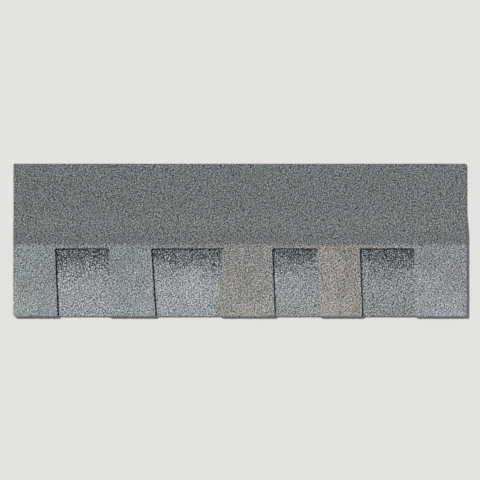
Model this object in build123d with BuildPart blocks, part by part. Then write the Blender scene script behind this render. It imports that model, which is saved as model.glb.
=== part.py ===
from build123d import *
import os
from math import atan, degrees, radians, sin, tan

# A laminated asphalt roofing shingle, lying face up as it relaxes on a level surface.
# X runs along the butt edge, +Y points up the roof slope and Z is through the thickness.
# The origin is the centre of the footprint, at the level that the shingle lies on.

# Overall size of the shingle
LENGTH = 1000.0  # along the butt edge
HEIGHT = 337.0  # from the butt edge to the head edge
EXPOSURE = 143.0  # the part of the height that the next course leaves open
SHEET = 2.5  # one granule-surfaced asphalt sheet

# Cut-outs in the top sheet, from the left end to the right. Each row gives the tooth on the
# left of the cut-out and the cut-out itself, both measured along the butt edge, and then how
# far the cut-out's left and right sides lean, in degrees: teeth flare towards the butt edge.
CUTOUTS = (
    (98.0, 110.0, 2.3, 1.2),
    (106.0, 139.5, 3.9, 2.9),
    (123.0, 96.5, 2.1, -0.8),
    (96.5, 115.0, 2.0, -0.4),
)
CUTOUT_ABOVE_EXPOSURE = 7.0  # how far the next course covers the heads of the cut-outs
BUTT_CORNER = 3.0  # die radius on the lower corners of the teeth and of the strip
HEAD_CORNER = 4.0  # die radius inside the heads of the cut-outs
SHEET_CORNER = 2.0  # die radius on the head edge of the top sheet

# Backing strip, glued under the teeth and the nailing zone
BACKING_HEIGHT = 171.0

# Laminating adhesive between the two layers
GLUE = 0.3
GLUE_LINE_WIDTH = 12.0
GLUE_LINES = (20.0, 72.0, 124.0)  # up from the butt edge, under each tooth
GLUE_MARGIN = 8.0  # from the side of a tooth to the end of its glue line
BOND_MARGIN = 3.0  # from the cut-out heads, and from the strip's edge, to the bond line

# Self-seal adhesive under the butt edge, in dashes
SEAL = 0.7
SEAL_SETBACK = 16.0  # from the butt edge to the middle of the dashes
SEAL_WIDTH = 12.0
SEAL_LENGTH = 78.0
SEAL_PITCH = 98.0
SEAL_ROUND = 0.3  # softened edge where the hot dash spread

# Release film on the back of the headlap: it faces the dashes of the next shingle in a pack
FILM = 0.1
FILM_WIDTH = 25.0

# The headlap relaxes from the backing strip down to the floor
BEND_SETBACK = 6.0  # from the backing strip's edge to the start of the bend
BEND_RUN = 60.0  # length of the whole bend along the floor

# Places worked out from the sizes
LEFT = -LENGTH / 2
RIGHT = LENGTH / 2
BUTT = -HEIGHT / 2
HEAD = HEIGHT / 2
CUTOUT_HEAD = BUTT + EXPOSURE + CUTOUT_ABOVE_EXPOSURE
BACKING_EDGE = BUTT + BACKING_HEIGHT
BACKING_TOP = SEAL + SHEET
TEETH_BOTTOM = BACKING_TOP + GLUE
BEND_START = BACKING_EDGE + BEND_SETBACK
FILM_MIDDLE = HEAD - SEAL_SETBACK  # packed back to back, the film lies on the next one's dashes
CUT_CLEAR = 1.0  # how far a cutting tool runs past what it cuts


def side(butt_x, lean, y):
    """X of a leaning cut-out side at height y, where it meets the butt edge at butt_x."""
    return butt_x + tan(radians(lean)) * (y - BUTT)


# Each cut-out as (left side, its lean, right side, its lean), with the places on the butt edge
cutouts = []
butt_x = LEFT
for tooth_width, cutout_width, left_lean, right_lean in CUTOUTS:
    cutout_left = butt_x + tooth_width
    butt_x = cutout_left + cutout_width
    cutouts.append((cutout_left, -left_lean, butt_x, right_lean))

# Each tooth as (left side, its lean, right side, its lean): what the cut-outs leave
tooth_lefts = [(LEFT, 0.0)] + [(right, lean) for _, _, right, lean in cutouts]
tooth_rights = [(left, lean) for left, lean, _, _ in cutouts] + [(RIGHT, 0.0)]
teeth = [(*left, *right) for left, right in zip(tooth_lefts, tooth_rights)]


# Top sheet: one sheet whose lower half is die-cut into flared teeth
drop_angle = 2 * degrees(atan(TEETH_BOTTOM / BEND_RUN))
bend_radius = BEND_RUN / (2 * sin(radians(drop_angle)))

with BuildPart() as top_sheet:
    with BuildSketch(Plane.YZ):
        with BuildLine() as underside:
            Line((BUTT, TEETH_BOTTOM), (BEND_START, TEETH_BOTTOM))
            JernArc((BEND_START, TEETH_BOTTOM), (1, 0), bend_radius, -drop_angle)
            JernArc(underside.line @ 1, underside.line % 1, bend_radius, drop_angle)
            Line(underside.line @ 1, (HEAD, 0))
            offset(amount=SHEET, side=Side.LEFT)
        make_face()
    extrude(amount=LENGTH / 2, both=True)
    with BuildSketch(Plane.XY.offset(TEETH_BOTTOM - CUT_CLEAR)):
        for left, left_lean, right, right_lean in cutouts:
            mouth = BUTT - CUT_CLEAR
            with BuildLine():
                Polyline(
                    (side(left, left_lean, mouth), mouth),
                    (side(right, right_lean, mouth), mouth),
                    (side(right, right_lean, CUTOUT_HEAD), CUTOUT_HEAD),
                    (side(left, left_lean, CUTOUT_HEAD), CUTOUT_HEAD),
                    close=True,
                )
            make_face()
    extrude(amount=SHEET + 2 * CUT_CLEAR, mode=Mode.SUBTRACT)
    # A flush seat for the release film, on the back of the headlap
    with BuildSketch(Plane.XY):
        with Locations((0, FILM_MIDDLE)):
            Rectangle(LENGTH + 2 * CUT_CLEAR, FILM_WIDTH)
    extrude(amount=FILM, mode=Mode.SUBTRACT)
    butt_corners = top_sheet.edges().filter_by(Axis.Z).group_by(Axis.Y)[0]
    fillet(butt_corners, radius=BUTT_CORNER)
    head_corners = top_sheet.edges().filter_by(Axis.Z).group_by(Axis.Y)[-1]
    fillet(head_corners, radius=SHEET_CORNER)
    across_heads = (CUTOUT_HEAD - HEAD_CORNER / 2, CUTOUT_HEAD + HEAD_CORNER / 2)
    cutout_corners = top_sheet.edges().filter_by(Axis.Z).filter_by_position(Axis.Y, *across_heads)
    fillet(cutout_corners, radius=HEAD_CORNER)


# Backing strip: the plain second layer, which shows through the cut-outs
with BuildPart() as backing_strip:
    with BuildSketch(Plane.XY.offset(SEAL)):
        with Locations((0, BUTT)):
            Rectangle(LENGTH, BACKING_HEIGHT, align=(Align.CENTER, Align.MIN))
    extrude(amount=SHEET)
    butt_corners = backing_strip.edges().filter_by(Axis.Z).group_by(Axis.Y)[0]
    fillet(butt_corners, radius=BUTT_CORNER)


# Laminating adhesive: short lines under every tooth, and one bond line above the cut-outs
with BuildPart() as laminating_adhesive:
    with BuildSketch(Plane.XY.offset(BACKING_TOP)):
        for left, left_lean, right, right_lean in teeth:
            for line_height in GLUE_LINES:
                y = BUTT + line_height
                line_left = side(left, left_lean, y) + GLUE_MARGIN
                line_right = side(right, right_lean, y) - GLUE_MARGIN
                with Locations(((line_left + line_right) / 2, y)):
                    Rectangle(line_right - line_left, GLUE_LINE_WIDTH)
        with Locations((0, (CUTOUT_HEAD + BACKING_EDGE) / 2)):
            Rectangle(LENGTH - 2 * GLUE_MARGIN, BACKING_EDGE - CUTOUT_HEAD - 2 * BOND_MARGIN)
    extrude(amount=GLUE)


# Self-seal adhesive: a row of dashes under the butt edge, with round ends and a soft rim
seal_count = int((LENGTH - SEAL_LENGTH) // SEAL_PITCH) + 1
with BuildPart() as sealant_dashes:
    with BuildSketch(Plane.XY.offset(SEAL)):
        with Locations((0, BUTT + SEAL_SETBACK)):
            with GridLocations(SEAL_PITCH, SEAL_PITCH, seal_count, 1):
                SlotOverall(SEAL_LENGTH, SEAL_WIDTH)
    extrude(amount=-SEAL)
    rims = sealant_dashes.faces().group_by(Axis.Z)[0].edges()
    fillet(rims, radius=SEAL_ROUND)


# Release film: a flat tape, flush with the back of the top sheet
with BuildPart() as release_film:
    with BuildSketch(Plane.XY):
        with Locations((0, FILM_MIDDLE)):
            Rectangle(LENGTH, FILM_WIDTH)
    extrude(amount=FILM)


# Every piece goes to its own file, which is named after it
pieces = {
    "top_sheet": top_sheet.part,
    "backing_strip": backing_strip.part,
    "laminating_adhesive": laminating_adhesive.part,
    "sealant_dashes": sealant_dashes.part,
    "release_film": release_film.part,
}
os.makedirs("parts", exist_ok=True)
for name, piece in pieces.items():
    piece.label = name
    export_step(piece, f"parts/{name}.step")
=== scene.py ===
"""Dresses one laminated asphalt shingle: granule surfaces, cut edges, adhesives, film, stage and camera."""
import math
from types import SimpleNamespace

import bpy
import numpy as np
from bpy.props import FloatProperty, FloatVectorProperty, IntProperty, PointerProperty
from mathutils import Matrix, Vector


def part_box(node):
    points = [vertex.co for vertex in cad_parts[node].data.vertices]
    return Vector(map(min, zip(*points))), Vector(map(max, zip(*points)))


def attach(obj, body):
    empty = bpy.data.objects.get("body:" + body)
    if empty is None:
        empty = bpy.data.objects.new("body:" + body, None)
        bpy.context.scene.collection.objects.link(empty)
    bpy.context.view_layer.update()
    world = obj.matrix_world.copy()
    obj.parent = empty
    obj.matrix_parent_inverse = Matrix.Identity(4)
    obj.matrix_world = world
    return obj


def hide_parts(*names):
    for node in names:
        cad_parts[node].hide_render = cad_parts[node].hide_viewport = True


bl_info = {
    "name": "Laminated Asphalt Shingle",
    "version": (1, 0, 0),
    "blender": (4, 5, 0),
    "location": "3D View > Sidebar > Shingle",
    "description": "Builds the granule surfaces, cut edges and adhesives of one laminated shingle",
    "category": "Add Mesh",
}

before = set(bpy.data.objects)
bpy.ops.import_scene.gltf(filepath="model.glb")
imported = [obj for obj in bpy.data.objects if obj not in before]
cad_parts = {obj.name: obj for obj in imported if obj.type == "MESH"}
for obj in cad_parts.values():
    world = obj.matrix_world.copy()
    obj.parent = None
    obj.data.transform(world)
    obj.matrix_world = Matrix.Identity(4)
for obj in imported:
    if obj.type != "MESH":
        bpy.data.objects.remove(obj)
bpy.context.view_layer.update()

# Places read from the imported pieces, in metres
SHEET_LOW, SHEET_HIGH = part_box("top_sheet")
STRIP_LOW, STRIP_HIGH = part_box("backing_strip")
GLUE_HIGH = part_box("laminating_adhesive")[1]
DASH_LOW, DASH_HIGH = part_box("sealant_dashes")
FILM_LOW, FILM_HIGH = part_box("release_film")
LEFT, RIGHT = SHEET_LOW.x, SHEET_HIGH.x
BUTT, HEAD = SHEET_LOW.y, SHEET_HIGH.y
TEETH_BOTTOM = GLUE_HIGH.z
SHEET = SHEET_HIGH.z - TEETH_BOTTOM
BACKING_EDGE = STRIP_HIGH.y

# The cut of the top sheet. Each row gives the tooth on the left of a cut-out and the cut-out
# itself, along the butt edge, and how far its left and right sides lean, in degrees.
CUTOUTS = (
    (0.0980, 0.1100, 2.3, 1.2),
    (0.1060, 0.1395, 3.9, 2.9),
    (0.1230, 0.0965, 2.1, -0.8),
    (0.0965, 0.1150, 2.0, -0.4),
)
EXPOSURE = 0.143  # the part of the height that the next course leaves open
EXPOSED_TOP = BUTT + EXPOSURE
CUTOUT_HEAD = EXPOSED_TOP + 0.007  # just under the next course
COLOUR_END = EXPOSED_TOP + 0.015  # where the blends end and the plain headlap begins
BUTT_CORNER = 0.003
HEAD_CORNER = 0.004  # inside the heads of the cut-outs
SHEET_CORNER = 0.002  # on the head edge

# The bend that takes the headlap down to the floor, and the dashes under the butt edge
BEND_START = BACKING_EDGE + 0.006
BEND_RUN = 0.060
BEND_END = BEND_START + BEND_RUN
BEND_ANGLE = 2 * math.atan(TEETH_BOTTOM / BEND_RUN)
BEND_RADIUS = BEND_RUN / (2 * math.sin(BEND_ANGLE))
DASH_COUNT = 10
DASH_LENGTH = 0.078

# Blend drops of each tooth, from the left: the drop that most of it got, the one mixed in, and
# the side where that one gathers, as a direction across and up the tooth
TOOTH_BLENDS = (
    ("ash", "moss", (-0.7, -0.7)),
    ("moss", "sky", (-0.5, 0.5)),
    ("sand", "stone", (0.0, 1.0)),
    ("rose", "sand", (1.0, 0.0)),
    ("heather", "ash", (0.5, 0.5)),
)
# The backing strip in each cut-out, from the left: its lightness, beside the strip's own grey,
# how far down from the next course's butt edge its dark granules thin out, the contrast between
# its grains, beside that of the whole strip, and how much duller it gets at its own butt edge
CUTOUT_SHADES = (
    (0.93, 0.049, 1.05, 0.0),
    (0.97, 0.041, 0.85, 0.2),
    (0.86, 0.038, 1.0, 1.2),
    (0.74, 0.038, 1.35, 1.0),
)


class ShingleGranules(bpy.types.PropertyGroup):
    """Sizes of the granule surfacing and of the cut edges, and the speckle of the blends."""

    pitch: FloatProperty(
        name="Pitch", description="Spacing of the grid whose every second point tops a granule",
        default=0.00125, min=0.0005, unit="LENGTH", precision=5)
    headlap_pitch: FloatProperty(
        name="Headlap Pitch", description="Spacing of the rows in the headlap",
        default=0.00145, min=0.0005, unit="LENGTH", precision=5)
    hidden_pitch: FloatProperty(
        name="Hidden Pitch", description="Spacing where the teeth cover the backing strip",
        default=0.0035, min=0.001, unit="LENGTH", precision=5)
    relief: FloatProperty(
        name="Relief", description="Depth from the highest granules to the asphalt between them",
        default=0.0009, min=0.0, unit="LENGTH", precision=5)
    jitter: FloatProperty(
        name="Jitter", description="How far a point strays, as a share of the pitch",
        default=0.33, min=0.0, max=0.45)
    drift: FloatProperty(
        name="Drift", description="How far whole rows of granules wander", default=0.00055, min=0.0,
        max=0.0006, unit="LENGTH", precision=5)
    ragged: FloatProperty(
        name="Ragged Edge", description="How far granules are broken back from a cut edge",
        default=0.0007, min=0.0, unit="LENGTH", precision=5)
    speckle: FloatProperty(
        name="Speckle", description="Contrast between the grains of the top sheet", default=0.54, min=0.0)
    strip_speckle: FloatProperty(
        name="Strip Speckle", description="Contrast between the grains of the backing strip",
        default=0.62, min=0.0)
    tint: FloatProperty(
        name="Tint", description="How far the hues of the top sheet's grains stray", default=0.03, min=0.0)
    strip_tint: FloatProperty(
        name="Strip Tint", description="How far the hues of the backing strip's grains stray",
        default=0.012, min=0.0)
    evenness: FloatProperty(
        name="Evenness", description="How far swings over some millimetres are taken out of the speckle",
        default=0.75, min=0.0, max=1.0)
    black_grains: FloatProperty(
        name="Black Grains", description="Share of the grains that are nearly black",
        default=0.09, min=0.0, max=0.5)
    white_grains: FloatProperty(
        name="White Grains", description="Share of the grains that are nearly white",
        default=0.06, min=0.0, max=0.5)
    seed: IntProperty(name="Seed", description="Changes every random draw", default=7)


def colour(name, description, value):
    return FloatVectorProperty(
        name=name, description=description, subtype="COLOR", size=3, min=0.0, max=1.0, default=value)


class ShingleColours(bpy.types.PropertyGroup):
    """Colours of the granule blends, of the asphalt and of the trim."""

    ash: colour("Ash", "Cool grey drop", (0.311, 0.342, 0.364))
    moss: colour("Moss", "Grey drop with a green cast", (0.315, 0.346, 0.346))
    sky: colour("Sky", "Light blue-grey drop", (0.311, 0.345, 0.360))
    sand: colour("Sand", "Warm tan drop", (0.328, 0.322, 0.302))
    stone: colour("Stone", "Neutral grey drop", (0.324, 0.322, 0.320))
    rose: colour("Rose", "Pinkish taupe drop", (0.342, 0.332, 0.325))
    heather: colour("Heather", "Lavender grey drop", (0.333, 0.346, 0.373))
    slate: colour("Slate", "Grey of the backing strip", (0.398, 0.426, 0.445))
    dull: colour("Dull Slate", "Grey of the backing strip where it is dullest", (0.372, 0.388, 0.391))
    shade: colour("Shade", "Dark granules of the shadow band", (0.036, 0.047, 0.050))
    headlap: colour("Headlap", "Plain granules that the next course covers", (0.189, 0.200, 0.206))
    asphalt: colour("Asphalt", "Coating on cut edges and between granules", (0.016, 0.015, 0.014))
    dust: colour("Dust", "Mineral dust on the back", (0.235, 0.225, 0.205))
    fleck: colour("Fleck", "Pale flecks in cut asphalt and bloom on sealant", (0.105, 0.105, 0.10))
    mat: colour("Mat", "Glass fibre mat where it is cut", (0.20, 0.175, 0.13))
    sealant: colour("Sealant", "Self-seal and laminating asphalt", (0.012, 0.0115, 0.011))
    film: colour("Film", "Release film", (0.42, 0.43, 0.42))
    floor: colour("Floor", "Studio floor", (0.80, 0.80, 0.79))


def quarter_round(distance, radius):
    """How far a quarter round stands in from a straight side, d from its end: r - sqrt(r^2 - (r - d)^2)."""
    return radius - np.sqrt(radius**2 - (radius - np.clip(distance, 0, radius)) ** 2)


def border_lines(y, widen=0.0):
    """X of each border of a tooth, for each height y, as a straight line and a shift at its corners.

    The line leans as far up as the heads of the cut-outs and stands upright above them. A quarter
    round shifts it into the butt edge, into the head of its cut-out and, at both ends of the
    sheet, into the head edge. At the distance d above a head of radius r the shift has died
    away to r e^(-d / r). widen moves the borders into the teeth.
    """
    places, slopes, inward = [LEFT], [0.0], [1.0]
    for tooth, cutout, left_lean, right_lean in CUTOUTS:
        left = places[-1] + tooth
        places += [left, left + cutout]
        slopes += [-math.tan(math.radians(left_lean)), math.tan(math.radians(right_lean))]
        inward += [-1.0, 1.0]
    places = np.array(places + [RIGHT])
    slopes = np.array(slopes + [0.0])
    inward = np.array(inward + [-1.0])
    up = y[:, None]
    straight = places + slopes * (np.minimum(up, CUTOUT_HEAD) - BUTT)
    below_head = quarter_round(CUTOUT_HEAD - up, HEAD_CORNER)
    above_head = HEAD_CORNER * np.exp(-abs(up - CUTOUT_HEAD) / HEAD_CORNER)
    at_head = np.where(up < CUTOUT_HEAD, below_head, above_head)
    shift = inward * quarter_round(up - BUTT, BUTT_CORNER)
    shift[:, 1:-1] -= inward[1:-1] * (at_head - widen)
    shift[:, [0, -1]] += inward[[0, -1]] * quarter_round(HEAD - up, SHEET_CORNER)
    return straight, shift


def columns_between(straight, shift, counts):
    """Columns between neighbouring borders, in even steps that bend only close to the corners.

    With t in equal steps from 0 to 1, x is (1 - t) left + t right between the straight lines,
    plus (1 - t)^8 of the left border's shift and t^8 of the right border's.
    """
    columns = []
    for number, count in enumerate(counts):
        t = np.arange(count) / count
        between = np.outer(straight[:, number], 1 - t) + np.outer(straight[:, number + 1], t)
        bent = np.outer(shift[:, number], (1 - t) ** 8) + np.outer(shift[:, number + 1], t**8)
        columns.append(between + bent)
    return np.hstack(columns + [(straight + shift)[:, -1:]])


def bend(y, above):
    """Height of the relaxed sheet's face that lies this far above its underside.

    Two arcs that meet in the middle: one about a centre below the start of the bend, and one
    about a centre above its end. Outside them both run on flat.
    """
    past_start = np.clip(y - BEND_START, 0, None)
    before_end = np.clip(BEND_END - y, 0, None)
    first = TEETH_BOTTOM - BEND_RADIUS + np.sqrt((BEND_RADIUS + above) ** 2 - past_start**2)
    second = BEND_RADIUS - np.sqrt((BEND_RADIUS - above) ** 2 - before_end**2)
    meeting = BEND_START + (BEND_RADIUS + above) * math.sin(BEND_ANGLE)
    return np.where(y < meeting, first, second)


def clouds(x, y, rng, size, strength):
    """Smooth random patches about zero: strength (p - 1/2).

    p is a lattice of random values from 0 to 1, this size apart, blended in between by 3t^2 - 2t^3.
    """
    u, v = (x - LEFT) / size, (y - BUTT) / size
    lattice = rng.random((int((HEAD - BUTT) / size) + 3, int((RIGHT - LEFT) / size) + 3))
    i, j = np.floor(u).astype(int), np.floor(v).astype(int)
    s, t = u - i, v - j
    s, t = s * s * (3 - 2 * s), t * t * (3 - 2 * t)
    low = lattice[j, i] * (1 - s) + lattice[j, i + 1] * s
    high = lattice[j + 1, i] * (1 - s) + lattice[j + 1, i + 1] * s
    return strength * (low * (1 - t) + high * t - 0.5)


def freedom(held, reach=4):
    """How free each row or column is to drift: 0 on the held ones, and 1 from this many places off them."""
    places = np.arange(max(held) + 1)
    return (abs(places[:, None] - np.array(held)).min(1) / reach).clip(0, 1)


def granule_grid(rows, held_rows, lines, counts, top, seed):
    """A grid of points over a sheet, rows by columns: every second point tops a granule.

    lines are the straight lines and the shifts of the borders, and counts the columns between
    them. x and y are the strayed places, x0 and y0 the clean ones: each point strays by a
    random step, and by a smooth drift that fades out at the held rows and at the borders. z is
    the top face less a random depth: up to 0.4 of the relief for a granule's top, 0.6 to 1
    between granules, and 0.25 to 0.6 at the one point in five where granules touch.
    """
    sizes = bpy.context.scene.shingle_granules
    rng = np.random.default_rng(seed)
    x0 = columns_between(*lines, counts)
    y0 = np.repeat(rows[:, None], x0.shape[1], axis=1)
    stray = sizes.jitter * sizes.pitch
    drift = 2 * sizes.drift * np.outer(freedom(held_rows), freedom(np.append(0, np.cumsum(counts))))
    is_top = np.add.outer(np.arange(x0.shape[0]), np.arange(x0.shape[1])) % 2 == 0
    depth = np.where(is_top, 0.4 * rng.random(x0.shape), 0.6 + 0.4 * rng.random(x0.shape))
    touching = rng.random(x0.shape) < 0.2
    depth = np.where(touching, 0.25 + 0.35 * rng.random(x0.shape), depth)
    return SimpleNamespace(
        x0=x0,
        y0=y0,
        x=x0 + rng.uniform(-stray, stray, x0.shape) + clouds(x0, y0, rng, size=0.006, strength=drift),
        y=y0 + rng.uniform(-stray, stray, x0.shape) + clouds(x0, y0, rng, size=0.006, strength=drift),
        z=top(y0) - sizes.relief * depth,
        depth=depth,
        is_top=is_top,
        index=np.arange(x0.size).reshape(x0.shape),
        broken=sizes.ragged * rng.random(x0.shape) ** 2,
    )


def break_edge(grid, rows, columns, inward_x, inward_y):
    """Puts a rim's points on the clean outline, less a random break into the sheet."""
    if inward_x:
        grid.x[rows, columns] = grid.x0[rows, columns] + inward_x * grid.broken[rows, columns]
    if inward_y:
        grid.y[rows, columns] = grid.y0[rows, columns] + inward_y * grid.broken[rows, columns]


def break_outer_edges(grid):
    """Breaks the left, right, butt and head edges of a sheet."""
    break_edge(grid, slice(None), 0, 1, 0)
    break_edge(grid, slice(None), -1, -1, 0)
    break_edge(grid, 0, slice(None), 0, 1)
    break_edge(grid, -1, slice(None), 0, -1)


def granule_faces(grid, cells):
    """Two triangles for each marked cell, cut so that each has one granule top, which comes first."""
    low_left, low_right = grid.index[:-1, :-1][cells], grid.index[:-1, 1:][cells]
    high_left, high_right = grid.index[1:, :-1][cells], grid.index[1:, 1:][cells]
    even = (np.add.outer(np.arange(cells.shape[0]), np.arange(cells.shape[1])) % 2 == 0)[cells]
    first = np.stack([
        np.where(even, low_left, low_right),
        np.where(even, low_right, high_right),
        np.where(even, high_left, low_left)], 1)
    second = np.stack([
        np.where(even, high_right, high_left),
        np.where(even, high_left, low_left),
        np.where(even, low_right, high_right)], 1)
    return np.concatenate([first, second])


def top_sheet_rims(index, stops, teeth_rows, seam):
    """Outlines of the teeth with the nailing band, and of the headlap, anticlockwise, as grid indices.

    stops are the columns of the borders, teeth_rows is the row of the cut-out heads, and the
    seam is the row where the two parts meet.
    """
    outline = []
    for number, (start, stop) in enumerate(zip(stops[:-1], stops[1:])):
        if number % 2 == 0:
            outline += [index[0, start:stop], index[:teeth_rows, stop]]
        else:
            outline += [index[teeth_rows, start:stop], index[teeth_rows:0:-1, stop]]
    teeth = np.concatenate(outline[:-1] + [index[:seam, -1], index[seam, :0:-1], index[seam:0:-1, 0]])
    headlap = np.concatenate([index[seam, :-1], index[seam:-1, -1], index[-1, :0:-1], index[:seam:-1, 0]])
    return teeth, headlap


def headlap_back(index, seam):
    """Faces of the headlap's back: a strip right across for each row, to follow the bend.

    The first also takes in every point along the seam, and the last those along the head edge.
    """
    front = np.concatenate([index[seam], index[seam + 1, [-1, 0]]])
    back = np.concatenate([index[-2, [0, -1]], index[-1, ::-1]])
    middle = np.stack([
        index[seam + 1:-2, 0], index[seam + 1:-2, -1], index[seam + 2:-1, -1], index[seam + 2:-1, 0]], 1)
    return [front, *middle, back]


def top_sheet_underside(y):
    """Height of the back of the top sheet: the inner face of the bend, with a seat for the film."""
    pitch = bpy.context.scene.shingle_granules.headlap_pitch
    seat = (y > FILM_LOW.y - pitch) & (y < FILM_HIGH.y + pitch)
    return bend(y, 0) + np.where(seat, FILM_HIGH.z, 0)


def closed_sheet(grid, cells, rim, undersides, bottom, seed):
    """A closed sheet: its granule faces, two bands of cut edge, and the back.

    rim is the outline, anticlockwise, as grid indices. Each rim point drops to a point of the
    asphalt core, 1.25 of the relief down, and on to the lower edge. Where the rim is broken,
    the core follows it by up to 0.35 of the break, and the lower edge by up to 0.5. undersides
    are the back's faces as grid indices of rim points, anticlockwise from above, which are
    turned to face down.

    The sheet has its points, the points at all face corners in a row and their places on the
    map, each face's count of corners and its material, the grid point that colours each granule
    face, and each point's relief: up to 1 on granules, 0 at the core, -1 at the lower edge.
    """
    sizes = bpy.context.scene.shingle_granules
    rng = np.random.default_rng(seed)
    top = np.stack([grid.x.ravel(), grid.y.ravel(), grid.z.ravel()], 1)
    clean = np.stack([grid.x0.ravel(), grid.y0.ravel()], 1)[rim]
    core_height = grid.z.ravel()[rim] + sizes.relief * (grid.depth.ravel()[rim] - 1.25)
    core = np.column_stack([clean, core_height])
    lower = np.column_stack([clean, bottom(clean[:, 1])])
    inward = top[rim, :2] - clean
    core[:, :2] += inward * rng.uniform(0, 0.35, (len(rim), 1))
    lower[:, :2] += inward * rng.uniform(0, 0.5, (len(rim), 1))
    granules = granule_faces(grid, cells)
    at_core = np.zeros(len(top), int)
    at_core[rim] = len(top) + np.arange(len(rim))
    at_lower = at_core + len(rim)
    after = np.roll(rim, -1)
    upper_band = np.stack([after, rim, at_core[rim], at_core[after]], 1)
    lower_band = np.stack([at_core[after], at_core[rim], at_lower[rim], at_lower[after]], 1)
    backs = [at_lower[back][::-1] for back in undersides]
    faces = [granules, upper_band, lower_band, *backs]
    corner_counts = [np.full(len(group), group.shape[1]) for group in faces[:3]]
    points = np.concatenate([top, core, lower])
    return SimpleNamespace(
        points=points,
        map_places=unrolled(points, granules, len(rim), backs),
        corners=np.concatenate([group.ravel() for group in faces]),
        corner_counts=np.concatenate([*corner_counts, [len(back) for back in backs]]),
        material=np.repeat([0, 1, 2], [len(granules), 2 * len(rim), len(backs)]),
        owner=granules[:, 0],
        relief=np.concatenate([1 - grid.depth.ravel(), np.zeros(len(rim)), np.full(len(rim), -1.0)]),
    )


def unrolled(points, granules, rim_count, backs):
    """Places of all face corners on one square map, so that each stretch of surface has pixels of its own.

    The granule face lies there in two halves, one above the other, seen from above: u is twice
    the share of the length, less one in the right half, and each half is 0.36 high. Above them
    come the back, at full length and 0.2 high, and the two bands of the cut edge, 0.025 high,
    where u is the share of the way round the rim.
    """
    margin = 0.004
    inside = 1 - 2 * margin
    low, high = points[:, :2].min(0), points[:, :2].max(0)
    share = margin + inside * (points[:, :2] - low) / (high - low)
    across, up = share[granules, 0], share[granules, 1]
    half = (across.mean(1) > 0.5)[:, None]
    face = np.stack([margin + inside * (2 * across - half), 0.36 * (up + half)], 2)
    back = share[np.concatenate(backs)] * (1, 0.2) + (0, 0.73)
    start = np.arange(rim_count) / rim_count
    round_rim = np.stack([start + 1 / rim_count, start, start, start + 1 / rim_count], 1)
    bands = [
        np.stack([round_rim, np.broadcast_to(levels, round_rim.shape)], 2).reshape(-1, 2)
        for levels in ((0.995, 0.995, 0.970, 0.970), (0.965, 0.965, 0.940, 0.940))]
    return np.concatenate([face.reshape(-1, 2), *bands, back])


def mesh_of(name, points, corners, corner_counts):
    """A mesh of flat faces: the points at all face corners in a row, and how many corners each has.

    Points that no face uses are left out, and the marks of the used ones come back with the mesh.
    """
    used = np.zeros(len(points), bool)
    used[corners] = True
    place = np.cumsum(used) - 1
    mesh = bpy.data.meshes.new(name)
    mesh.vertices.add(used.sum())
    mesh.vertices.foreach_set("co", points[used].astype(np.float32).ravel())
    mesh.loops.add(len(corners))
    mesh.loops.foreach_set("vertex_index", place[corners].astype(np.int32))
    mesh.polygons.add(len(corner_counts))
    mesh.polygons.foreach_set("loop_start", (np.cumsum(corner_counts) - corner_counts).astype(np.int32))
    mesh.update(calc_edges=True)
    mesh.shade_flat()
    return mesh, used


def add_sheet(name, sheet, colours, materials, slot, *nodes):
    """Adds a closed sheet, with a colour for each granule, the relief of each point and its own map.
    """
    mesh, used = mesh_of(name, sheet.points, sheet.corners, sheet.corner_counts)
    tint = np.ones((len(sheet.corner_counts), 4), np.float32)
    tint[:len(sheet.owner), :3] = colours
    mesh.attributes.new("granule_colour", "FLOAT_COLOR", "FACE").data.foreach_set("color", tint.ravel())
    relief = sheet.relief[used].astype(np.float32)
    mesh.attributes.new("relief", "FLOAT", "POINT").data.foreach_set("value", relief)
    mesh.uv_layers.new(name="OFBake").data.foreach_set("uv", sheet.map_places.astype(np.float32).ravel())
    for material in materials:
        mesh.materials.append(material)
    mesh.polygons.foreach_set("material_index", sheet.material.astype(np.int32))
    return add_piece(name, mesh, slot, *nodes)


def add_piece(name, mesh, slot, *nodes):
    """Links a mesh as a piece on the shingle's one body and hides the nodes it replaces. The finish's slot
    name is not used.
    """
    mesh.update()
    piece = bpy.data.objects.new(name, mesh)
    bpy.context.scene.collection.objects.link(piece)
    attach(piece, "root")
    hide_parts(*nodes)
    return piece


def local_mean(values, counted):
    """Mean of the counted points around each: weights of 1, 2 and 1 both ways over the grid, five times."""
    sums = np.stack([values * counted, counted * 1.0])
    for _ in range(5):
        wide = np.pad(sums, ((0, 0), (1, 1), (1, 1)), mode="edge")
        rows = wide[:, :-2] + 2 * wide[:, 1:-1] + wide[:, 2:]
        sums = (rows[:, :, :-2] + 2 * rows[:, :, 1:-1] + rows[:, :, 2:]) / 16
    return sums[0] / sums[1]


def stirred(is_top, rng):
    """Random values from 0 to 1, spread as in a stirred blend, where no part gets more high ones.

    The mean of the granules around is taken from each drawn value, and its rank is its share.
    """
    drawn = rng.random(is_top.shape)
    ranks = (drawn - local_mean(drawn, is_top)).ravel().argsort().argsort()
    return ranks / ranks.size


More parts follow.
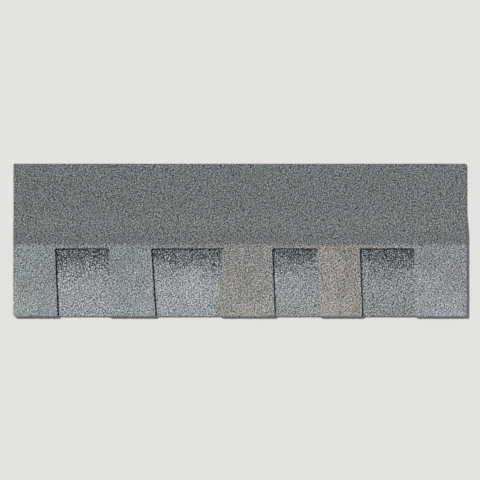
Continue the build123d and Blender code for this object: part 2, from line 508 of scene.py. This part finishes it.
def speckled(base, is_top, contrast, tint, rng):
    """Granule colours: each base colour times a random lightness and a tint 1 + tint n.

    The lightness is exp(contrast n), from 0.2 to 3, with n from the normal distribution, and a
    few grains are nearly black or white instead. The blend is well stirred, so each value is
    divided by the mean of the granules around it to the power of the evenness, and the mean of
    all is 1. No colour ends up under 0.004 or over 0.9.
    """
    sizes = bpy.context.scene.shingle_granules
    black, white = 0.15, 2.4
    darkest, lightest = 0.004, 0.9
    lightness = np.exp(contrast * rng.standard_normal(is_top.shape)).clip(0.2, 3.0)
    odd = rng.random(is_top.shape)
    lightness[odd < sizes.black_grains] = black
    lightness[odd > 1 - sizes.white_grains] = white
    lightness /= local_mean(lightness, is_top) ** sizes.evenness
    lightness /= lightness[is_top].mean()
    hue = 1 + tint * rng.standard_normal(base.shape)
    return (base * lightness.reshape(-1, 1) * hue).clip(darkest, lightest)


def middles_and_centres():
    """Halfway up the exposure, X of the middle of each cut-out and of the centre of each tooth."""
    borders = sum(border_lines(np.array([BUTT + EXPOSURE / 2])))[0]
    return (borders[1:-1:2] + borders[2:-1:2]) / 2, (borders[:-1:2] + borders[1::2]) / 2


def top_sheet_colours(grid, rng):
    """Base colours of the top sheet's granules, before speckling.

    Each tooth is its two blend drops, mixed in patches: the second drop's share is 0.4 on
    average, and half of the way towards its own side is added to that. A tooth is 1.08 as light
    as its drops at the butt edge and 0.17 less at the top, in clouds. The drops end in a line
    in the middle of each cut-out, 5 mm fuzzy, and in another where the headlap begins, 2 mm.
    """
    colours = bpy.context.scene.shingle_colours
    x, y, count = grid.x.ravel(), grid.y.ravel(), grid.x.size
    middles, centres = middles_and_centres()
    strayed = x + clouds(x, y, rng, size=0.03, strength=0.012)
    tooth = np.searchsorted(middles, strayed + 0.005 * rng.standard_normal(count))
    mains, seconds, sides = zip(*TOOTH_BLENDS)
    main = np.array([getattr(colours, drop) for drop in mains])[tooth]
    second = np.array([getattr(colours, drop) for drop in seconds])[tooth]
    side = np.array(sides)[tooth]
    half_tooth = 0.05
    across = ((x - centres[tooth]) / half_tooth).clip(-1, 1)
    up = ((y - BUTT) / EXPOSURE).clip(0, 1)
    gathered = side[:, 0] * across + side[:, 1] * (2 * up - 1)
    share = (0.4 + clouds(x, y, rng, size=0.04, strength=1.6) + 0.5 * gathered).clip(0, 0.95)
    base = np.where((stirred(grid.is_top, rng) < share)[:, None], second, main)
    base *= (1.08 - 0.17 * up + clouds(x, y, rng, size=0.02, strength=0.22))[:, None]
    covered = y + 0.002 * rng.standard_normal(count) > COLOUR_END
    return np.where(covered[:, None], np.array(colours.headlap), base)


def cutout_shades(x):
    """The values of CUTOUT_SHADES at each x, turning evenly from one cut-out's middle to the next."""
    return [np.interp(x, middles_and_centres()[0], values) for values in zip(*CUTOUT_SHADES)]


def backing_colours(grid, rng):
    """Base colours of the backing strip's granules, before speckling.

    One grey, shaded by cut-out, which turns duller by the cube of the share of the way down the
    exposure. The share of dark granules falls off on the way: 0.62 exp(-(d / r)^2) at the
    distance d below the next course's butt edge, in clouds. For 2.8 mm right of a tooth, where
    the key light throws the tooth's shadow, three granules in four are dark: painted shade.
    """
    colours = bpy.context.scene.shingle_colours
    x, y = grid.x.ravel(), grid.y.ravel()
    tone, reach, _, dullness = cutout_shades(x)
    slate, dull = np.array(colours.slate), np.array(colours.dull)
    dulled = dullness * ((EXPOSED_TOP - y) / EXPOSURE).clip(0, 1) ** 3
    grey = slate + dulled[:, None] * (dull - slate)
    base = grey * (tone + clouds(x, y, rng, size=0.03, strength=0.12))[:, None]
    below = (EXPOSED_TOP - y + clouds(x, y, rng, size=0.018, strength=0.018)).clip(0, None)
    dark = 0.62 * np.exp(-((below / reach) ** 2))
    # Painted shade: the granules just right of each tooth, where the key light throws its shadow, are made
    # dark
    past_tooth = x[:, None] - sum(border_lines(y))[:, 1:-1:2]
    painted_edge_shade = (past_tooth > -0.001) & (past_tooth < 0.0028)
    dark[painted_edge_shade.any(1)] = 0.75
    return np.where((stirred(grid.is_top, rng) < dark)[:, None], np.array(colours.shade), base)


def new_material(name):
    """A material, its links, its shader, and a function that adds a node with its settings and its inputs."""
    material = bpy.data.materials.new(name)
    material.use_nodes = True
    tree = material.node_tree

    def add(kind, inputs=None, **settings):
        node = tree.nodes.new(kind)
        for key, value in settings.items():
            setattr(node, key, value)
        for key, value in (inputs or {}).items():
            if isinstance(value, bpy.types.NodeSocket):
                tree.links.new(value, node.inputs[key])
            else:
                node.inputs[key].default_value = value
        return node

    return material, tree.links, tree.nodes["Principled BSDF"].inputs, add


def noise(add, place, scale, detail=2.0):
    """Noise with this many cycles to the metre."""
    return add("ShaderNodeTexNoise", {"Vector": place, "Scale": scale, "Detail": detail}).outputs["Fac"]


def mapped(add, value, source, target):
    """Takes a value from one range to another, clamped."""
    ends = dict(enumerate((*source, *target), 1))
    return add("ShaderNodeMapRange", {0: value, **ends}).outputs[0]


def times(add, colour, factor):
    """A colour times a factor."""
    return add("ShaderNodeVectorMath", {0: colour, 3: factor}, operation="SCALE").outputs[0]


def mixed(add, share, first, second):
    """One colour turning into another as the share goes from 0 to 1. Nodes may work out either."""
    first, second = (
        end if isinstance(end, bpy.types.NodeSocket) else (*end, 1) for end in (first, second))
    return add("ShaderNodeMix", {0: share, 6: first, 7: second}, data_type="RGBA").outputs[2]


def bumped(add, height, distance):
    """A bump of this many metres."""
    return add("ShaderNodeBump", {"Height": height, "Distance": distance, "Strength": 0.7}).outputs[0]


def granule_material(name):
    """Stone granules: each face's own colour, mottled, darker down in the asphalt between them, partly for
    the asphalt and partly as painted shade in the hollows, with a gritty bump.
    """
    material, links, shader, add = new_material(name)
    place = add("ShaderNodeTexCoord").outputs["Object"]
    colour = add("ShaderNodeAttribute", attribute_name="granule_colour").outputs["Color"]
    relief = add("ShaderNodeAttribute", attribute_name="relief").outputs["Fac"]
    mottle = mapped(add, noise(add, place, 1100.0), (0.3, 0.7), (0.84, 1.16))
    # Darker down between granules: partly the asphalt showing there, partly painted shade in the hollows
    asphalt_and_painted_shade = mapped(add, relief, (0.0, 0.4), (0.5, 1.0))
    links.new(times(add, times(add, colour, mottle), asphalt_and_painted_shade), shader["Base Color"])
    links.new(mapped(add, noise(add, place, 700.0), (0.3, 0.7), (0.72, 0.96)), shader["Roughness"])
    links.new(bumped(add, noise(add, place, 2600.0, 3.0), 0.00015), shader["Normal"])
    shader["Specular IOR Level"].default_value = 0.35
    return material


def edge_material():
    """Cut asphalt: black with paler flecks, and the glass mat as a broken line halfway down the edge."""
    colours = bpy.context.scene.shingle_colours
    material, links, shader, add = new_material("cut_asphalt")
    place = add("ShaderNodeTexCoord").outputs["Object"]
    grain = noise(add, place, 1300.0, 3.0)
    coating = mixed(add, mapped(add, grain, (0.58, 0.72), (0, 1)), colours.asphalt, colours.fleck)
    relief = add("ShaderNodeAttribute", attribute_name="relief").outputs["Fac"]
    in_middle = add("ShaderNodeMath", {0: relief, 1: -0.5, 2: 0.12}, operation="COMPARE").outputs[0]
    fibres = mapped(add, noise(add, place, 500.0, 3.0), (0.4, 0.6), (0, 0.8))
    mat = add("ShaderNodeMath", {0: in_middle, 1: fibres}, operation="MULTIPLY").outputs[0]
    links.new(mixed(add, mat, coating, colours.mat), shader["Base Color"])
    links.new(mapped(add, grain, (0.3, 0.7), (0.5, 0.9)), shader["Roughness"])
    links.new(bumped(add, noise(add, place, 1700.0, 3.0), 0.0002), shader["Normal"])
    return material


def back_material():
    """The back of a sheet: asphalt under a coat of fine mineral dust, thin in clouds and gritty close up."""
    colours = bpy.context.scene.shingle_colours
    material, links, shader, add = new_material("dusted_back")
    place = add("ShaderNodeTexCoord").outputs["Object"]
    cloud = mapped(add, noise(add, place, 22.0, 5.0), (0.3, 0.7), (-0.04, 0.07))
    grit = add("ShaderNodeMath", {0: noise(add, place, 1500.0), 1: cloud}, operation="ADD").outputs[0]
    dust = mapped(add, grit, (0.36, 0.64), (0.12, 0.9))
    links.new(mixed(add, dust, colours.asphalt, colours.dust), shader["Base Color"])
    links.new(mapped(add, dust, (0.0, 1.0), (0.7, 0.97)), shader["Roughness"])
    links.new(bumped(add, grit, 0.0002), shader["Normal"])
    return material


def sealant_material():
    """Self-seal asphalt: glossy black, with a faint drag and a dull bloom in clouds."""
    colours = bpy.context.scene.shingle_colours
    material, links, shader, add = new_material("self_seal_asphalt")
    place = add("ShaderNodeTexCoord").outputs["Object"]
    bloom = mapped(add, noise(add, place, 90.0, 4.0), (0.5, 0.8), (0, 0.3))
    links.new(mixed(add, bloom, colours.sealant, colours.fleck), shader["Base Color"])
    links.new(mapped(add, bloom, (0, 0.3), (0.16, 0.4)), shader["Roughness"])
    links.new(bumped(add, noise(add, place, 260.0, 3.0), 0.0003), shader["Normal"])
    return material


def adhesive_material():
    """Laminating asphalt: dull black, with the pull marks of the press roll."""
    colours = bpy.context.scene.shingle_colours
    material, links, shader, add = new_material("laminating_asphalt")
    place = add("ShaderNodeTexCoord").outputs["Object"]
    pulled = noise(add, place, 400.0, 4.0)
    dull = mapped(add, pulled, (0.45, 0.7), (0, 1))
    links.new(mixed(add, dull, colours.sealant, colours.asphalt), shader["Base Color"])
    links.new(mapped(add, pulled, (0.3, 0.7), (0.35, 0.7)), shader["Roughness"])
    links.new(bumped(add, pulled, 0.0002), shader["Normal"])
    return material


def film_material():
    """Release film: thin, pale and slick, with faint wrinkles and the dust of the back showing through."""
    colours = bpy.context.scene.shingle_colours
    material, links, shader, add = new_material("release_film")
    place = add("ShaderNodeTexCoord").outputs["Object"]
    through = mapped(add, noise(add, place, 900.0), (0.35, 0.75), (0, 0.35))
    links.new(mixed(add, through, colours.film, colours.dust), shader["Base Color"])
    links.new(mapped(add, noise(add, place, 60.0), (0.3, 0.7), (0.2, 0.38)), shader["Roughness"])
    wrinkle = add("ShaderNodeMapping", {"Vector": place, "Scale": (12.0, 90.0, 1.0)}).outputs[0]
    links.new(bumped(add, noise(add, wrinkle, 1.0, 4.0), 0.0006), shader["Normal"])
    return material


class SHINGLE_OT_top_sheet(bpy.types.Operator):
    """Build the top sheet: the teeth with the nailing band, and the headlap behind them"""

    bl_idname = "shingle.top_sheet"
    bl_label = "Top Sheet"

    def execute(self, context):
        sizes = context.scene.shingle_granules
        teeth_rows = round((CUTOUT_HEAD - BUTT) / sizes.pitch)
        band_rows = round((BEND_START - CUTOUT_HEAD) / sizes.pitch)
        headlap_rows = round((HEAD - BEND_START) / sizes.headlap_pitch)
        seam = teeth_rows + band_rows
        rows = np.concatenate([
            np.linspace(BUTT, CUTOUT_HEAD, teeth_rows + 1),
            np.linspace(CUTOUT_HEAD, BEND_START, band_rows + 1)[1:],
            np.linspace(BEND_START, HEAD, headlap_rows + 1)[1:]])
        lines = border_lines(rows)
        counts = np.round(np.diff(sum(lines)[0]) / sizes.pitch).astype(int)
        stops = np.concatenate([[0], np.cumsum(counts)])
        held_rows = (0, teeth_rows, seam, len(rows) - 1)
        grid = granule_grid(rows, held_rows, lines, counts, lambda y: bend(y, SHEET), sizes.seed)
        for number, stop in enumerate(stops[1:-1], 1):
            break_edge(grid, slice(0, teeth_rows + 1), stop, -1 if number % 2 else 1, 0)
        for left, right in zip(stops[1:-1:2], stops[2:-1:2]):
            break_edge(grid, teeth_rows, slice(left, right + 1), 0, 1)
        break_outer_edges(grid)

        in_tooth = np.repeat(np.arange(len(counts)) % 2 == 0, counts)
        cell_rows = np.arange(len(rows) - 1)[:, None]
        in_sheet = in_tooth | (cell_rows >= teeth_rows)
        teeth_rim, headlap_rim = top_sheet_rims(grid.index, stops, teeth_rows, seam)
        back = headlap_back(grid.index, seam)

        materials = [granule_material("top_sheet_granules"), edge_material(), back_material()]
        rng = np.random.default_rng(sizes.seed + 1)
        base = top_sheet_colours(grid, rng)
        # The speckle gets stronger up the teeth: 0.8 of its setting at the butt edge, 1.1 at the top
        up = ((grid.y - BUTT) / EXPOSURE).clip(0, 1)
        contrast = sizes.speckle * (0.8 + 0.3 * up)
        colours = speckled(base, grid.is_top, contrast, sizes.tint, rng)
        for name, part_rows, rim, undersides, seed in (
            ("top_sheet_teeth", cell_rows < seam, teeth_rim, [teeth_rim], sizes.seed + 2),
            ("top_sheet_headlap", cell_rows >= seam, headlap_rim, back, sizes.seed + 3),
        ):
            cells = in_sheet & part_rows
            sheet = closed_sheet(grid, cells, rim, undersides, top_sheet_underside, seed)
            add_sheet(name, sheet, colours[sheet.owner], materials, "granule_top_sheet", "top_sheet")
        return {"FINISHED"}


class SHINGLE_OT_backing_strip(bpy.types.Operator):
    """Build the backing strip, with fine granules only where the cut-outs show it"""

    bl_idname = "shingle.backing_strip"
    bl_label = "Backing Strip"

    tuck: FloatProperty(
        name="Tuck", description="How far the fine granules run on under the teeth",
        default=0.0025, unit="LENGTH", precision=5)

    def execute(self, context):
        sizes = context.scene.shingle_granules
        fine_end = CUTOUT_HEAD + self.tuck
        fine_rows = round((fine_end - BUTT) / sizes.pitch)
        covered_rows = 5
        rows = np.concatenate([
            np.linspace(BUTT, fine_end, fine_rows + 1),
            np.linspace(fine_end, BACKING_EDGE, covered_rows + 1)[1:]])
        lines = border_lines(rows, widen=self.tuck)
        widths = np.diff(sum(lines)[0])
        pitches = np.where(np.arange(len(widths)) % 2 == 0, sizes.hidden_pitch, sizes.pitch)
        counts = np.round(widths / pitches).astype(int)
        held_rows = (0, fine_rows, len(rows) - 1)
        grid = granule_grid(
            rows, held_rows, lines, counts, lambda y: np.full_like(y, STRIP_HIGH.z), sizes.seed + 4)
        break_outer_edges(grid)
        cells = np.ones((len(rows) - 1, counts.sum()), bool)
        index = grid.index
        rim = np.concatenate([index[0, :-1], index[:-1, -1], index[-1, :0:-1], index[:0:-1, 0]])
        rng = np.random.default_rng(sizes.seed + 5)
        base = backing_colours(grid, rng)
        contrast = sizes.strip_speckle * cutout_shades(grid.x)[2]
        colours = speckled(base, grid.is_top, contrast, sizes.strip_tint, rng)
        materials = [granule_material("backing_strip_granules"), edge_material(), back_material()]
        sheet = closed_sheet(
            grid, cells, rim, [rim], lambda y: np.full_like(y, STRIP_LOW.z), sizes.seed + 6)
        add_sheet(
            "backing_strip_sheet", sheet, colours[sheet.owner], materials,
            "granule_backing_strip", "backing_strip")
        return {"FINISHED"}


class SHINGLE_OT_sealant(bpy.types.Operator):
    """Build the row of self-seal dashes under the butt edge"""

    bl_idname = "shingle.sealant"
    bl_label = "Self-Seal Dashes"

    waver: FloatProperty(
        name="Waver", description="How far the outline of a dash strays inwards",
        default=0.0006, unit="LENGTH", precision=5)

    def execute(self, context):
        """Each dash is rings round a straight spine, at a distance that shrinks from rim to crown.

        A ring is the spine moved outwards by its own distance: r (cos a, sin a) round each end.
        The crown hangs lowest, on the floor, and the rings rise from it to the strip in an arc.
        The first and last dash keep the clean outline, so that the row has its full length.
        """
        rng = np.random.default_rng(context.scene.shingle_granules.seed + 7)
        radius = (DASH_HIGH.y - DASH_LOW.y) / 2
        depth = DASH_HIGH.z - DASH_LOW.z
        middle_y = (DASH_HIGH.y + DASH_LOW.y) / 2
        pitch = (DASH_HIGH.x - DASH_LOW.x - DASH_LENGTH) / (DASH_COUNT - 1)
        end_points, side_points = 20, 20
        round_end = np.linspace(-math.pi / 2, math.pi / 2, end_points)
        reach = DASH_LENGTH / 2 - radius
        spine = np.linspace(-reach, reach, side_points + 2)[1:-1]
        none, one = np.zeros(side_points), np.ones(side_points)
        along = np.concatenate([
            np.full(end_points, reach), spine[::-1], np.full(end_points, -reach), spine])
        out_x = np.concatenate([np.cos(round_end), none, -np.cos(round_end), none])
        out_y = np.concatenate([np.sin(round_end), one, -np.sin(round_end), -one])
        size = len(along)
        turn = np.arange(size) * 2 * math.pi / size
        share = np.array([1.0, 1.0, 0.985, 0.95, 0.88, 0.74, 0.5, 0.22])
        height = DASH_HIGH.z - depth * np.array([0.0, 0.45, 0.68, 0.82, 0.92, 0.975, 0.997, 1.0])
        points, faces = [], []
        for number in range(DASH_COUNT):
            waves = sum(np.sin(k * turn + 2 * math.pi * rng.random()) for k in (3, 5, 9)) / 3
            waver = self.waver if 0 < number < DASH_COUNT - 1 else 0.0
            outline = radius - waver * (1 + waves) / 2
            middle_x = DASH_LOW.x + DASH_LENGTH / 2 + number * pitch
            for part, level in zip(share, height):
                x = middle_x + along + part * outline * out_x
                y = middle_y + part * outline * out_y
                points.append(np.column_stack([x, y, np.full(size, level)]))
            first = number * size * len(share)
            here = first + np.arange(size)
            after = np.roll(here, -1)
            for ring in range(len(share) - 1):
                lower, upper = size * (ring + 1), size * ring
                faces += np.column_stack([
                    here + lower, after + lower, after + upper, here + upper]).tolist()
            faces += [here.tolist(), (here + size * (len(share) - 1))[::-1].tolist()]
        mesh = bpy.data.meshes.new("sealant_dash_row")
        mesh.from_pydata(np.concatenate(points), [], faces)
        mesh.polygons.foreach_set("use_smooth", np.ones(len(faces), bool))
        mesh.materials.append(sealant_material())
        add_piece("sealant_dash_row", mesh, "self_seal_asphalt", "sealant_dashes")
        return {"FINISHED"}


class SHINGLE_OT_trim(bpy.types.Operator):
    """Give the laminating adhesive and the release film their finishes"""

    bl_idname = "shingle.trim"
    bl_label = "Adhesive and Film"

    def execute(self, context):
        finishes = {"laminating_adhesive": adhesive_material(), "release_film": film_material()}
        for node, material in finishes.items():
            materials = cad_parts[node].data.materials
            materials.clear()
            materials.append(material)
        return {"FINISHED"}


class SHINGLE_OT_stage(bpy.types.Operator):
    """Set up the floor, the lights and the camera that looks straight down"""

    bl_idname = "shingle.stage"
    bl_label = "Stage"

    view_width: FloatProperty(
        name="View Width", description="Width that the camera takes in at the shingle",
        default=1.06, unit="LENGTH")
    lens: FloatProperty(name="Lens", description="Focal length in millimetres", default=120.0)
    sun_elevation: FloatProperty(
        name="Sun Elevation", description="Height of the key light over the floor",
        default=math.radians(31), subtype="ANGLE")
    sun_azimuth: FloatProperty(
        name="Sun Azimuth", description="Direction that the key light comes from, anticlockwise from +X",
        default=math.radians(139), subtype="ANGLE")
    sun_softness: FloatProperty(
        name="Sun Softness", description="How wide the key light looks from the shingle",
        default=math.radians(6), subtype="ANGLE")
    sun_strength: FloatProperty(name="Sun Strength", description="Strength of the key light", default=4.5)
    sky_strength: FloatProperty(
        name="Sky Strength", description="Strength of the soft light from all round", default=0.24)
    sun_colour: colour("Sun Colour", "Colour of the key light", (1.0, 0.985, 0.96))
    sky_colour: colour("Sky Colour", "Colour of the soft light", (0.93, 0.96, 1.0))

    def execute(self, context):
        scene = context.scene
        reach = 10.0
        corners = [(-reach, -reach, 0), (reach, -reach, 0), (reach, reach, 0), (-reach, reach, 0)]
        mesh = bpy.data.meshes.new("floor")
        mesh.from_pydata(corners, [], [(0, 1, 2, 3)])
        material, _, shader, _ = new_material("studio_floor")
        shader["Base Color"].default_value = (*scene.shingle_colours.floor, 1)
        shader["Roughness"].default_value = 0.85
        mesh.materials.append(material)
        floor = bpy.data.objects.new("floor", mesh)
        scene.collection.objects.link(floor)

        sun = bpy.data.lights.new("key", "SUN")
        sun.energy = self.sun_strength
        sun.angle = self.sun_softness
        sun.color = self.sun_colour
        key = bpy.data.objects.new("key", sun)
        key.rotation_euler = (0, math.pi / 2 - self.sun_elevation, self.sun_azimuth)
        scene.collection.objects.link(key)

        world = bpy.data.worlds.new("studio")
        world.use_nodes = True
        light = world.node_tree.nodes["Background"].inputs
        light["Color"].default_value = (*self.sky_colour, 1)
        light["Strength"].default_value = self.sky_strength
        scene.world = world

        camera = bpy.data.cameras.new("camera")
        camera.lens = self.lens
        camera.clip_end = 100
        seat = bpy.data.objects.new("camera", camera)
        distance = self.view_width / 2 * self.lens / (camera.sensor_width / 2)
        seat.location = ((LEFT + RIGHT) / 2, (BUTT + HEAD) / 2, distance)
        scene.collection.objects.link(seat)
        scene.camera = seat
        scene.view_settings.view_transform = "Standard"
        return {"FINISHED"}


class SHINGLE_PT_panel(bpy.types.Panel):
    """The shingle's sizes and colours, and one button for each group of pieces"""

    bl_label = "Shingle"
    bl_space_type = "VIEW_3D"
    bl_region_type = "UI"
    bl_category = "Shingle"

    def draw(self, context):
        for group in (context.scene.shingle_granules, context.scene.shingle_colours):
            for name in group.__annotations__:
                self.layout.prop(group, name)
        for operator in OPERATORS:
            self.layout.operator(operator.bl_idname)


OPERATORS = (
    SHINGLE_OT_top_sheet,
    SHINGLE_OT_backing_strip,
    SHINGLE_OT_sealant,
    SHINGLE_OT_trim,
    SHINGLE_OT_stage,
)
CLASSES = (ShingleGranules, ShingleColours, *OPERATORS, SHINGLE_PT_panel)


def register():
    for cls in CLASSES:
        bpy.utils.register_class(cls)
    bpy.types.Scene.shingle_granules = PointerProperty(type=ShingleGranules)
    bpy.types.Scene.shingle_colours = PointerProperty(type=ShingleColours)


def unregister():
    del bpy.types.Scene.shingle_colours
    del bpy.types.Scene.shingle_granules
    for cls in reversed(CLASSES):
        bpy.utils.unregister_class(cls)


def main():
    """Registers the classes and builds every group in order."""
    register()
    bpy.ops.shingle.top_sheet()
    bpy.ops.shingle.backing_strip()
    bpy.ops.shingle.sealant()
    bpy.ops.shingle.trim()
    bpy.ops.shingle.stage()
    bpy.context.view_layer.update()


if __name__ == "__main__":
    main()
